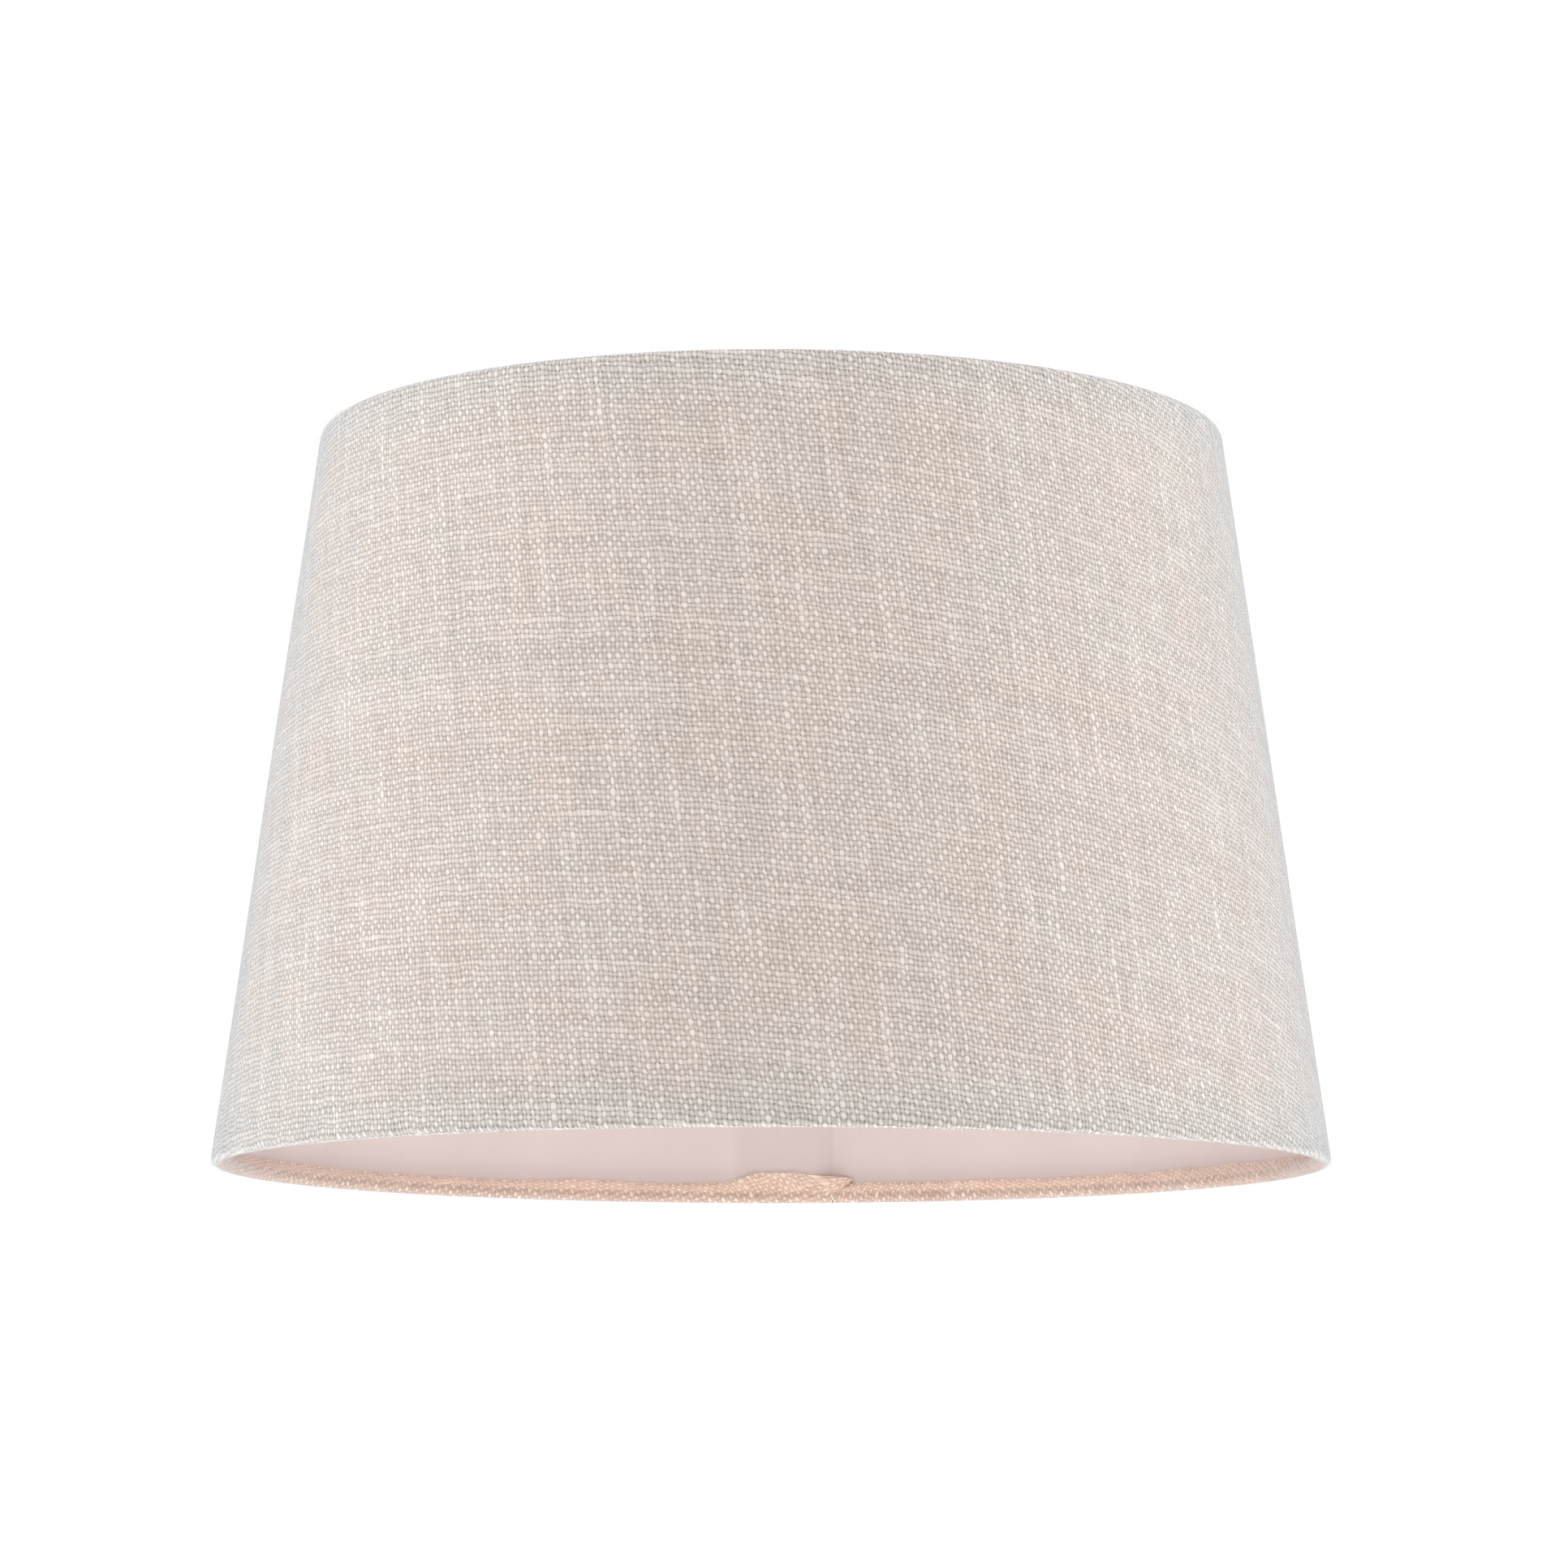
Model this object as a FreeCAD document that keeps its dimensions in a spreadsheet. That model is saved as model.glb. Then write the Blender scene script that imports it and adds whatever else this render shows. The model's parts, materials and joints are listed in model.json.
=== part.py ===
"""Tapered drum lamp shade with a reversible gimbal, as a parametric FreeCAD document.

A strip of woven cloth, laminated to a stiff plastic liner, is wrapped into a cone stump and closed
with a taped lap at the back. A wire ring stiffens each rim, and the cloth is turned in over it.
Two wires hang from the top ring and carry the gimbal, whose steel cup takes the lampholder.

Lengths are in millimetres and angles in degrees. The origin is the centre of the bottom rim, on the
plane that the shade stands on. +Z points up, and the lap is on the +Y side.
"""
import FreeCAD, Part
import math
import os
import Sketcher

doc = FreeCAD.newDocument("lamp_shade")

# ---------------------------------------------------------------- driving dimensions

SIZES = [
    ("bottom_radius", 177.5, "outer radius of the wall, carried down to the standing plane"),
    ("top_radius", 145, "outer radius of the wall at the top rim"),
    ("shade_height", 235, "standing plane to top rim"),
    ("cloth", 0.7, "thickness of the woven cloth"),
    ("liner", 0.4, "thickness of the plastic liner"),
    ("tape", 0.2, "thickness of the double-sided tape in the lap"),
    ("ring_wire", 3.2, "wire diameter of the two rim rings"),
    ("ring_play", 0.1, "gap between a rim ring and what wraps it"),
    ("hem_rise", 2.8, "how far the turned hem reaches past its ring"),
    ("hem_tail", 0.9, "stretch of the hem's end that is glued flat on the liner"),
    ("hem_hug", 0.85, "share of the ring's height up to which the hem runs straight beside it"),
    ("rim_round", 1.2, "rounding of the cloth where it turns over a rim"),
    ("seam_angle", 83, "direction of the inner end of the strip, from +X towards +Y"),
    ("lap_width", 34, "overlap of the strip's two ends, measured at the bottom rim"),
    ("joggle_angle", 0.5, "arc in which one layer steps outwards to make room for the lap"),
    ("hanger_wire", 3.2, "wire diameter of the hangers and the yoke"),
    ("hanger_reach", 10, "from the top ring's wire inwards to the upright hanger"),
    ("hanger_bend", 5, "bend radius of the hanger, on its centre line"),
    ("notch_play", 1, "gap on each side of the hanger, where the hem is cut to let it through"),
    ("pivot_drop", 85, "top rim down to the gimbal's pivots"),
    ("tab_width", 9, "width of the wires' flattened ends"),
    ("tab_plate", 1.6, "thickness of the wires' flattened ends"),
    ("tab_taper", 14, "from the pivot to where a flattened end is a round wire again"),
    ("tab_grip", 5, "stretch of round wire that runs into the flattened end"),
    ("rivet_radius", 1.5, "pivot rivet's shank"),
    ("rivet_head_radius", 3, "pivot rivet's heads"),
    ("rivet_head", 1.2, "thickness of a rivet head"),
    ("rivet_crown", 0.6, "flat top of a rivet head, as a share of the head's radius"),
    ("pivot_play", 0.05, "running gap around and beside a yoke's flattened end"),
    ("washer_radius", 4, "outer radius of the friction washer"),
    ("washer_plate", 0.5, "thickness of the friction washer"),
    ("yoke_shoulder", 16, "pivot down to the corner of the yoke's bend"),
    ("yoke_bend", 8, "bend radius of the yoke, on its centre line"),
    ("fitter_drop", 45, "pivot down to the underside of the fitter ring"),
    ("fitter_bore", 21, "radius of the fitter ring's hole"),
    ("fitter_ledge", 6, "fitter ring's width, from its hole to its outer face"),
    ("fitter_sheet", 1.2, "sheet thickness of the fitter ring"),
    ("fitter_depth", 5, "height of the fitter ring's upright wall"),
    ("fitter_press", 0.7, "outer radius that the press leaves round the fitter ring's foot"),
    ("reducer_bore", 14.5, "radius of the reducer's hole, for the smaller lampholder"),
    ("reducer_flange", 2, "thickness of the reducer's flange"),
    ("reducer_spigot", 3, "how far the reducer's spigot stands out below the fitter ring"),
    ("reducer_play", 0.3, "gap between the reducer and the fitter ring, all round"),
    ("reducer_round", 0.5, "rounding of the reducer's outer edges"),
]

sheet = doc.addObject("Spreadsheet::Sheet", "sizes")
for row, (alias, value, meaning) in enumerate(SIZES, start=1):
    sheet.set(f"A{row}", alias)
    sheet.set(f"B{row}", str(value))
    sheet.setAlias(f"B{row}", alias)
    sheet.set(f"C{row}", meaning)
doc.recompute()

# ---------------------------------------------------------------- derived lengths, as formulas

LAMINATE = "(sizes.cloth + sizes.liner)"
LAP_STEP = f"({LAMINATE} + sizes.tape)"
LAP_ANGLE = "(sizes.lap_width / sizes.bottom_radius * 180 / pi)"
RING_LIFT = "(sizes.cloth + sizes.ring_play + sizes.ring_wire / 2)"
RING_INSET = f"({LAMINATE} + sizes.ring_play + sizes.ring_wire / 2)"
POCKET = f"({LAMINATE} + sizes.ring_wire + 2 * sizes.ring_play)"
RIM_THICKNESS = f"({POCKET} + sizes.cloth)"
HEM_HEIGHT = "(sizes.cloth + sizes.ring_play + sizes.ring_wire + sizes.hem_rise)"
HEM_SHOULDER = "(sizes.cloth + sizes.ring_play + sizes.hem_hug * sizes.ring_wire)"
TOP = "sizes.shade_height"
TOP_RING_HEIGHT = f"({TOP} - {RING_LIFT})"
THICKER_WIRE = "max(sizes.ring_wire; sizes.hanger_wire)"
HANGER_TOP = f"({TOP} - sizes.cloth - sizes.ring_play - {THICKER_WIRE} / 2)"
PIVOT_HEIGHT = f"({TOP} - sizes.pivot_drop)"
FITTER_BASE = f"({PIVOT_HEIGHT} - sizes.fitter_drop)"
FITTER_FLOOR = f"({FITTER_BASE} + sizes.fitter_sheet)"
FITTER_OUTER = "(sizes.fitter_bore + sizes.fitter_ledge)"
FITTER_CUP = f"({FITTER_OUTER} - sizes.fitter_sheet)"


def wall(inset, height):
    """Return the formulas of a point `inset` inwards of the shade's outer cone at `height`."""
    taper = "(sizes.bottom_radius - sizes.top_radius) / sizes.shade_height"
    return f"sizes.bottom_radius - {taper} * ({height}) - ({inset})", height


def number(formula):
    """Return what a formula is worth with the sheet's present sizes."""
    return float(sheet.evalExpression(formula))


TOP_RING_RADIUS = f"({wall(RING_INSET, TOP_RING_HEIGHT)[0]})"
HANGER_RADIUS = f"({TOP_RING_RADIUS} - sizes.hanger_reach)"
TAB_SET = "((sizes.hanger_wire - sizes.tab_plate) / 2)"
HANGER_TAB = f"({HANGER_RADIUS} - {TAB_SET})"
YOKE_TAB = f"({HANGER_TAB} - sizes.tab_plate - sizes.washer_plate - sizes.pivot_play)"
YOKE_RADIUS = f"({YOKE_TAB} - {TAB_SET})"


# ---------------------------------------------------------------- sketch helpers

def plane_sketch(body, name, role, turn=None, shift=None):
    """Put an empty sketch on one of the body's origin planes, turned about +Z or shifted off it."""
    sketch = body.newObject("Sketcher::SketchObject", f"{body.Name}_{name}")
    plane = next(p for p in body.Origin.OriginFeatures if p.Role == role)
    sketch.AttachmentSupport = [(plane, "")]
    sketch.MapMode = "FlatFace"
    if turn is not None:
        upright = FreeCAD.Vector(0, 1, 0)
        sketch.AttachmentOffset = FreeCAD.Placement(
            FreeCAD.Vector(), FreeCAD.Rotation(upright, number(turn))
        )
        sketch.setExpression("AttachmentOffset.Rotation.Angle", f"({turn}) * 1deg")
    if shift is not None:
        axis, distance = shift
        sketch.setExpression(f"AttachmentOffset.Base.{axis}", distance)
    return sketch


def drive(sketch, label, kind, places, formula):
    """Add one dimension to a sketch and bind it to a formula of the sheet."""
    index = sketch.addConstraint(Sketcher.Constraint(kind, *places, number(formula)))
    sketch.renameConstraint(index, label)
    sketch.setExpression(f"Constraints.{label}", formula)


def pin_point(sketch, label, edge, end, place):
    """Hold one end of an edge at the two formulas in `place`, measured from the sketch's origin."""
    drive(sketch, f"{label}_across", "DistanceX", (-1, 1, edge, end), place[0])
    drive(sketch, f"{label}_up", "DistanceY", (-1, 1, edge, end), place[1])


def outline(sketch, corners, prefix="corner"):
    """Draw a closed outline of straight edges through corners that are given as formulas."""
    points = [FreeCAD.Vector(number(x), number(y), 0) for x, y in corners]
    first = sketch.GeometryCount
    count = len(points)
    for i in range(count):
        sketch.addGeometry(Part.LineSegment(points[i], points[(i + 1) % count]), False)
    for i in range(count):
        following = first + (i + 1) % count
        sketch.addConstraint(Sketcher.Constraint("Coincident", first + i, 2, following, 1))
    for i, corner in enumerate(corners):
        pin_point(sketch, f"{prefix}_{i + 1}", first + i, 1, corner)
    return sketch


def disc(sketch, centre, radius):
    """Draw a circle whose centre and radius are formulas."""
    middle = FreeCAD.Vector(number(centre[0]), number(centre[1]), 0)
    circle = Part.Circle(middle, FreeCAD.Vector(0, 0, 1), number(radius))
    index = sketch.addGeometry(circle, False)
    drive(sketch, "radius", "Radius", (index,), radius)
    pin_point(sketch, "centre", index, 3, centre)
    return sketch


def bent_line(sketch, start, corner, end, bend):
    """Draw a wire's centre line: two straight runs joined by an arc that touches both."""
    s, c, e = (FreeCAD.Vector(number(x), number(y), 0) for x, y in (start, corner, end))
    radius = number(bend)
    back = (s - c).normalize()
    ahead = (e - c).normalize()
    half = back.getAngle(ahead) / 2
    first_touch = c + back * (radius / math.tan(half))
    last_touch = c + ahead * (radius / math.tan(half))
    centre = c + (back + ahead).normalize() * (radius / math.sin(half))
    turns_left = (c - s).cross(e - c).z > 0
    from_touch, to_touch = (first_touch, last_touch) if turns_left else (last_touch, first_touch)
    opening = math.atan2(from_touch.y - centre.y, from_touch.x - centre.x)
    closing = math.atan2(to_touch.y - centre.y, to_touch.x - centre.x)
    circle = Part.Circle(centre, FreeCAD.Vector(0, 0, 1), radius)
    run_in = sketch.addGeometry(Part.LineSegment(s, first_touch), False)
    arc = sketch.addGeometry(Part.ArcOfCircle(circle, opening, closing), False)
    run_out = sketch.addGeometry(Part.LineSegment(last_touch, e), False)
    knee = sketch.addGeometry(Part.Point(c), True)
    arc_start, arc_end = (1, 2) if turns_left else (2, 1)
    sketch.addConstraint(Sketcher.Constraint("Tangent", run_in, 2, arc, arc_start))
    sketch.addConstraint(Sketcher.Constraint("Tangent", arc, arc_end, run_out, 1))
    sketch.addConstraint(Sketcher.Constraint("PointOnObject", knee, 1, run_in))
    sketch.addConstraint(Sketcher.Constraint("PointOnObject", knee, 1, run_out))
    drive(sketch, "bend", "Radius", (arc,), bend)
    pin_point(sketch, "start", run_in, 1, start)
    pin_point(sketch, "knee", knee, 1, corner)
    pin_point(sketch, "end", run_out, 2, end)
    return sketch


# ---------------------------------------------------------------- feature helpers

def new_body(name):
    """Start an empty body."""
    body = doc.addObject("PartDesign::Body", name)
    body.Label = name
    return body


def turned(body, name, sketch, axis, angle="360"):
    """Revolve a sketch about one of its own axes."""
    feature = body.newObject("PartDesign::Revolution", f"{body.Name}_{name}")
    feature.Profile = sketch
    feature.ReferenceAxis = (sketch, [axis])
    feature.setExpression("Angle", angle)
    return feature


def sector(body, name, corners, start, arc):
    """Revolve an upright outline about +Z from the direction `start` through the angle `arc`."""
    sketch = outline(plane_sketch(body, f"{name}_profile", "XZ_Plane", turn=start), corners)
    return turned(body, name, sketch, "V_Axis", arc)


def plate(body, name, sketch, thickness):
    """Pad a sketch by half of `thickness` to each side of its plane."""
    feature = body.newObject("PartDesign::Pad", f"{body.Name}_{name}")
    feature.Profile = sketch
    feature.Midplane = True
    feature.setExpression("Length", thickness)
    return feature


def cut_through(body, name, sketch, length):
    """Pocket a sketch by half of `length` to each side of its plane."""
    feature = body.newObject("PartDesign::Pocket", f"{body.Name}_{name}")
    feature.Profile = sketch
    feature.Midplane = True
    feature.setExpression("Length", length)
    return feature


def round_edges(body, name, base, picked, radius):
    """Round those edges of `base` for which `picked` is true."""
    edges = [f"Edge{i}" for i, edge in enumerate(base.Shape.Edges, start=1) if picked(edge)]
    feature = body.newObject("PartDesign::Fillet", f"{body.Name}_{name}")
    feature.Base = (base, edges)
    feature.setExpression("Radius", radius)
    return feature


def is_circle_at(edge, height):
    """Say whether an edge is a circular arc about +Z at the given height."""
    if not isinstance(edge.Curve, Part.Circle):
        return False
    return abs(edge.Curve.Center.z - height) < 1e-4


# ---------------------------------------------------------------- cloth, liner and tape

def ply_outline(inner, outer, trim):
    """Outline a plain layer between two insets, `trim` short of each rim."""
    return [
        wall(outer, trim),
        wall(inner, trim),
        wall(inner, f"({TOP} - {trim})"),
        wall(outer, f"({TOP} - {trim})"),
    ]


def fabric_cover():
    """Woven cloth: one strip round the shade, its edges turned in over both rings."""
    body = new_body("fabric_cover")
    hem = [
        ("0", "0"),
        (RIM_THICKNESS, "0"),
        (RIM_THICKNESS, f"({HEM_SHOULDER} + sizes.cloth / 2)"),
        (f"({LAMINATE} + sizes.cloth)", HEM_HEIGHT),
        (LAMINATE, HEM_HEIGHT),
        (LAMINATE, f"({HEM_HEIGHT} - sizes.hem_tail)"),
        (POCKET, HEM_SHOULDER),
        (POCKET, "sizes.cloth"),
        ("sizes.cloth", "sizes.cloth"),
    ]
    outside, inside = hem[0], hem[1:]
    bottom = [wall(*corner) for corner in inside]
    top = [wall(inset, f"({TOP} - ({height}))") for inset, height in reversed(inside)]
    corners = [wall(*outside)] + bottom + top + [wall(outside[0], TOP)]
    start = "sizes.seam_angle"
    strip = sector(body, "strip", corners, start, "360 - sizes.joggle_angle")
    doc.recompute()
    outer_rims = [0.0, number(TOP)]
    rims = round_edges(
        body,
        "rims",
        strip,
        lambda edge: any(is_circle_at(edge, height) for height in outer_rims),
        "sizes.rim_round",
    )
    doc.recompute()

    notch = [
        wall(LAMINATE, f"({TOP} - sizes.cloth)"),
        wall(LAMINATE, f"({TOP} - {HEM_HEIGHT} - sizes.hem_tail)"),
        wall(f"({RIM_THICKNESS} + sizes.cloth)", f"({TOP} - {HEM_HEIGHT} - sizes.hem_tail)"),
        wall(f"({RIM_THICKNESS} + sizes.cloth)", f"({TOP} - sizes.cloth)"),
    ]
    notches = plane_sketch(body, "notch_profile", "XZ_Plane")
    outline(notches, notch, "right")
    outline(notches, [(f"-({across})", up) for across, up in notch], "left")
    before = rims.Shape.Volume
    notched = cut_through(
        body, "notches", notches, "sizes.hanger_wire + 2 * sizes.notch_play"
    )
    doc.recompute()
    assert notched.Shape.Volume < before, "the hanger notches cut nothing"

    lap_start = "sizes.seam_angle - 2 * sizes.joggle_angle"
    outer_face = f"(0 - {LAP_STEP})"
    sector(
        body,
        "outer_ply",
        ply_outline(f"(sizes.cloth - {LAP_STEP})", outer_face, "sizes.rim_round"),
        lap_start,
        f"{LAP_ANGLE} + 2 * sizes.joggle_angle",
    )
    sector(
        body,
        "joggle",
        ply_outline("(sizes.cloth / 2)", outer_face, "sizes.rim_round"),
        lap_start,
        "sizes.joggle_angle / 2",
    )
    return body


def liner_panel():
    """Plastic liner: one strip behind the cloth, from ring pocket to ring pocket."""
    body = new_body("liner_panel")
    trim = "(sizes.cloth + sizes.ring_play)"
    sector(
        body,
        "strip",
        ply_outline(LAMINATE, "sizes.cloth", trim),
        "sizes.seam_angle",
        "360 - sizes.joggle_angle",
    )
    lap_start = "sizes.seam_angle - sizes.joggle_angle"
    outer_face = f"(sizes.cloth - {LAP_STEP})"
    sector(
        body,
        "outer_ply",
        ply_outline("(0 - sizes.tape)", outer_face, "sizes.rim_round"),
        lap_start,
        f"{LAP_ANGLE} + sizes.joggle_angle",
    )
    sector(
        body,
        "joggle",
        ply_outline(LAMINATE, outer_face, "sizes.rim_round"),
        lap_start,
        "sizes.joggle_angle / 2",
    )
    return body


def seam_tape():
    """Double-sided tape that joins the strip's two ends in the lap."""
    body = new_body("seam_tape")
    corners = ply_outline("0", "(0 - sizes.tape)", "sizes.rim_round")
    sector(body, "strip", corners, "sizes.seam_angle", LAP_ANGLE)
    return body


# ---------------------------------------------------------------- rim rings and hangers

def rim_ring(name, height):
    """Butt-welded wire ring that lies in the turned hem, against the liner."""
    ring = doc.addObject("Part::Torus", name)
    ring.Label = name
    ring.setExpression("Radius1", wall(RING_INSET, height)[0])
    ring.setExpression("Radius2", "sizes.ring_wire / 2")
    ring.setExpression("Placement.Base.z", height)
    return ring


def flattened_end(body, radius, away):
    """Add the flattened end of a wire at the pivot; `away` is +1 above the pivot, -1 below.

    The flat is level with the side of the wire that faces the other wire's end, so the two round
    wires pass each other when the gimbal is turned over.
    """
    half = "sizes.tab_width / 2"
    neck = "sizes.hanger_wire / 2"
    far = f"({PIVOT_HEIGHT} + {away} * sizes.tab_taper)"
    taper = [
        (f"-({half})", PIVOT_HEIGHT),
        (half, PIVOT_HEIGHT),
        (neck, far),
        (f"-({neck})", far),
    ]
    tab = plane_sketch(body, "taper_profile", "YZ_Plane", shift=("z", radius))
    plate(body, "taper", outline(tab, taper), "sizes.tab_plate")
    eye = plane_sketch(body, "eye_profile", "YZ_Plane", shift=("z", radius))
    plate(body, "eye", disc(eye, ("0", PIVOT_HEIGHT), half), "sizes.tab_plate")


def pierce(body, radius, hole):
    """Drill the rivet's hole through a flattened end."""
    doc.recompute()
    before = body.Shape.Volume
    sketch = plane_sketch(body, "hole_profile", "YZ_Plane", shift=("z", radius))
    cut_through(body, "hole", disc(sketch, ("0", PIVOT_HEIGHT), hole), "2 * sizes.tab_plate")
    doc.recompute()
    assert body.Shape.Volume < before, f"the hole in {body.Label} cuts nothing"


def wire(body, centre_line, profile):
    """Run a round wire along a centre line."""
    feature = body.newObject("PartDesign::AdditivePipe", f"{body.Name}_wire")
    feature.Profile = profile
    feature.Spine = centre_line
    return feature


def trimmed(name, base, tool):
    """Cope a wire's end to the piece that it is welded to."""
    cut = doc.addObject("Part::Cut", name)
    cut.Label = name
    cut.Base = base
    cut.Tool = tool
    return cut


def hanger(name, side, top_ring):
    """Wire from the top ring inwards and down to its flattened end at the pivot."""
    body = new_body(f"{name}_untrimmed")
    middle = f"{side} * {HANGER_RADIUS}"
    line = plane_sketch(body, "centre_line", "XZ_Plane")
    bent_line(
        line,
        (f"{side} * {TOP_RING_RADIUS}", HANGER_TOP),
        (middle, HANGER_TOP),
        (middle, f"({PIVOT_HEIGHT} + sizes.tab_taper - sizes.tab_grip)"),
        "sizes.hanger_bend",
    )
    shift = ("z", f"{side} * {TOP_RING_RADIUS}")
    section = plane_sketch(body, "wire_profile", "YZ_Plane", shift=shift)
    wire(body, line, disc(section, ("0", HANGER_TOP), "sizes.hanger_wire / 2"))
    tab = f"{side} * {HANGER_TAB}"
    flattened_end(body, tab, 1)
    pierce(body, tab, "sizes.rivet_radius")
    return trimmed(name, body, top_ring)


# ---------------------------------------------------------------- gimbal

def yoke(name, side, fitter):
    """Wire from its flattened end at the pivot down and inwards to the fitter ring."""
    body = new_body(f"{name}_untrimmed")
    middle = f"{side} * {YOKE_RADIUS}"
    start_height = f"({PIVOT_HEIGHT} - sizes.tab_taper + sizes.tab_grip)"
    line = plane_sketch(body, "centre_line", "XZ_Plane")
    bent_line(
        line,
        (middle, start_height),
        (middle, f"({PIVOT_HEIGHT} - sizes.yoke_shoulder)"),
        (
            f"{side} * ({FITTER_OUTER} - sizes.fitter_sheet / 2)",
            f"({FITTER_BASE} + sizes.fitter_depth / 2)",
        ),
        "sizes.yoke_bend",
    )
    section = plane_sketch(body, "wire_profile", "XY_Plane", shift=("z", start_height))
    wire(body, line, disc(section, (middle, "0"), "sizes.hanger_wire / 2"))
    tab = f"{side} * {YOKE_TAB}"
    flattened_end(body, tab, -1)
    pierce(body, tab, "sizes.rivet_radius + sizes.pivot_play")
    return trimmed(name, body, fitter)


def about_pivot(name, side, corners):
    """Revolve an outline about the pivots' axis; corners are (outwards along X, radius)."""
    body = new_body(name)
    sketch = plane_sketch(body, "profile", "XZ_Plane", shift=("y", PIVOT_HEIGHT))
    outline(sketch, [(f"{side} * ({across})", up) for across, up in corners])
    turned(body, "solid", sketch, "H_Axis")
    return body


def pivot_rivet(name, side):
    """Rivet that is clenched in the hanger's end and that the yoke's end turns on."""
    outer = f"({HANGER_TAB} + sizes.tab_plate / 2)"
    inner = f"({YOKE_TAB} - sizes.tab_plate / 2 - sizes.pivot_play)"
    crown = "(sizes.rivet_head_radius * sizes.rivet_crown)"
    corners = [
        (f"{outer} + sizes.rivet_head", "0"),
        (f"{outer} + sizes.rivet_head", crown),
        (f"{outer} + sizes.rivet_head / 2", "sizes.rivet_head_radius"),
        (outer, "sizes.rivet_head_radius"),
        (outer, "sizes.rivet_radius"),
        (inner, "sizes.rivet_radius"),
        (inner, "sizes.rivet_head_radius"),
        (f"{inner} - sizes.rivet_head / 2", "sizes.rivet_head_radius"),
        (f"{inner} - sizes.rivet_head", crown),
        (f"{inner} - sizes.rivet_head", "0"),
    ]
    return about_pivot(name, side, corners)


def friction_washer(name, side):
    """Washer between the two flattened ends, which holds the gimbal where it is put."""
    outer = f"({HANGER_TAB} - sizes.tab_plate / 2)"
    inner = f"({outer} - sizes.washer_plate)"
    hole = "(sizes.rivet_radius + sizes.pivot_play)"
    corners = [
        (outer, hole),
        (outer, "sizes.washer_radius"),
        (inner, "sizes.washer_radius"),
        (inner, hole),
    ]
    return about_pivot(name, side, corners)


def fitter_ring():
    """Pressed steel cup with a hole for the lampholder; its ledge carries the reducer."""
    body = new_body("fitter_ring")
    rim = f"({FITTER_BASE} + sizes.fitter_depth)"
    corners = [
        ("sizes.fitter_bore", FITTER_BASE),
        (FITTER_OUTER, FITTER_BASE),
        (FITTER_OUTER, rim),
        (FITTER_CUP, rim),
        (FITTER_CUP, FITTER_FLOOR),
        ("sizes.fitter_bore", FITTER_FLOOR),
    ]
    solid = sector(body, "solid", corners, "0", "360")
    doc.recompute()
    base = number(FITTER_BASE)
    outer = number(FITTER_OUTER)
    round_edges(
        body,
        "press_radius",
        solid,
        lambda edge: is_circle_at(edge, base) and abs(edge.Curve.Radius - outer) < 1e-4,
        "sizes.fitter_press",
    )
    return body


def reducer_ring():
    """Loose plastic ring that narrows the fitter ring's hole; it lifts straight out."""
    body = new_body("reducer_ring")
    flange = f"({FITTER_CUP} - sizes.reducer_play)"
    spigot = "(sizes.fitter_bore - sizes.reducer_play)"
    foot = f"({FITTER_BASE} - sizes.reducer_spigot)"
    top = f"({FITTER_FLOOR} + sizes.reducer_flange)"
    corners = [
        ("sizes.reducer_bore", foot),
        (spigot, foot),
        (spigot, FITTER_FLOOR),
        (flange, FITTER_FLOOR),
        (flange, top),
        ("sizes.reducer_bore", top),
    ]
    solid = sector(body, "solid", corners, "0", "360")
    doc.recompute()
    foot_height, top_height = number(foot), number(top)
    bore = number("sizes.reducer_bore")
    round_edges(
        body,
        "soft_edges",
        solid,
        lambda edge: (is_circle_at(edge, foot_height) or is_circle_at(edge, top_height))
        and edge.Curve.Radius > bore + 1e-4,
        "sizes.reducer_round",
    )
    return body


# ---------------------------------------------------------------- the assembly

cover = fabric_cover()
top_ring = rim_ring("top_ring", TOP_RING_HEIGHT)
bottom_ring = rim_ring("bottom_ring", RING_LIFT)
fitter = fitter_ring()
nodes = [cover, liner_panel(), seam_tape(), top_ring, bottom_ring, fitter, reducer_ring()]
for hand, side in (("left", -1), ("right", 1)):
    nodes.append(hanger(f"hanger_{hand}", side, top_ring))
    nodes.append(yoke(f"yoke_{hand}", side, fitter))
    nodes.append(pivot_rivet(f"pivot_rivet_{hand}", side))
    nodes.append(friction_washer(f"friction_washer_{hand}", side))
doc.recompute()

for item in doc.Objects:
    faults = {"Invalid", "Error"} & set(item.State)
    assert not faults, f"{item.Label} is {faults}"
for node in nodes:
    shape = node.Shape
    assert not shape.isNull() and shape.isValid(), f"{node.Label} has no valid shape"
    assert len(shape.Solids) == 1, f"{node.Label} has {len(shape.Solids)} solids"

os.makedirs("parts", exist_ok=True)
for node in nodes:
    node.Shape.exportStep(f"parts/{node.Label}.step")
    box = node.Shape.BoundBox
    print(
        f"{node.Label:22s} {node.Shape.Volume:10.1f} mm3"
        f"  x {box.XMin:8.2f} {box.XMax:8.2f}"
        f"  y {box.YMin:8.2f} {box.YMax:8.2f}"
        f"  z {box.ZMin:8.2f} {box.ZMax:8.2f}"
    )
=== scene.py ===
# %% [markdown]
# # A tapered drum lamp shade
# A hardback shade is a strip of woven cloth laminated to a stiff plastic liner, rolled into a cone
# stump and closed with a lap at the back. A wire ring stiffens each rim, and the cloth is turned in
# over it. Two wires hang from the top ring and carry a small gimbal for the lampholder.
# The CAD model gives every size. Here the cloth and the liner are made again as real sheets, and
# the wires, rivets and the reducer get their finishes.

# %% Load the fixed frame
import json

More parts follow.
